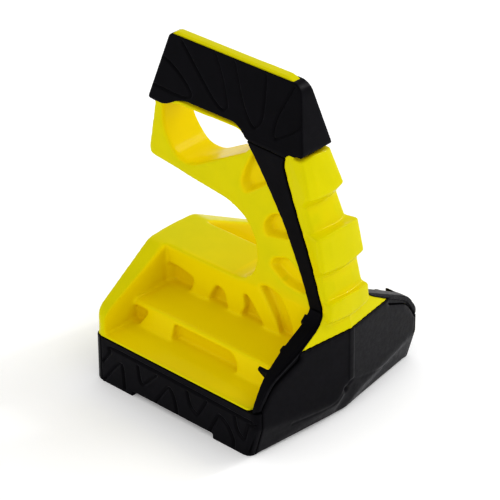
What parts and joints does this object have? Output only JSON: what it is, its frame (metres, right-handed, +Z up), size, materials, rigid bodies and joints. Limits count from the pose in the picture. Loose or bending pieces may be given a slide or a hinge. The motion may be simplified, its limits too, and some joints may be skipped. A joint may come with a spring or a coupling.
{
  "type": "wheel chock",
  "caption": "Wheel chock with a tall carry handle, a throat open to the heel side, a stepped tower and black rubber treads, boot and grip on a yellow body.",
  "frame": {"origin": "centre of the bounding box, on the ground plane under the sole", "axes": "+X towards the toe, +Y across the width (mirror plane is Y = 0), +Z up through the handle"},
  "size_m": [0.1995, 0.197, 0.2778],
  "materials": {
    "yellow_body": "semi-gloss moulded",
    "black_rubber": "satin"
  },
  "bodies": {
    "root": {"core_body": "yellow_body", "grip_cover": "black_rubber", "toe_boot": "black_rubber", "heel_tread": "black_rubber", "sole_pad": "black_rubber", "spine_strip_left": "black_rubber", "spine_strip_right": "black_rubber", "shoulder_strip_left": "black_rubber", "shoulder_strip_right": "black_rubber", "side_tread_left": "black_rubber", "side_tread_right": "black_rubber"}
  },
  "joints": []
}
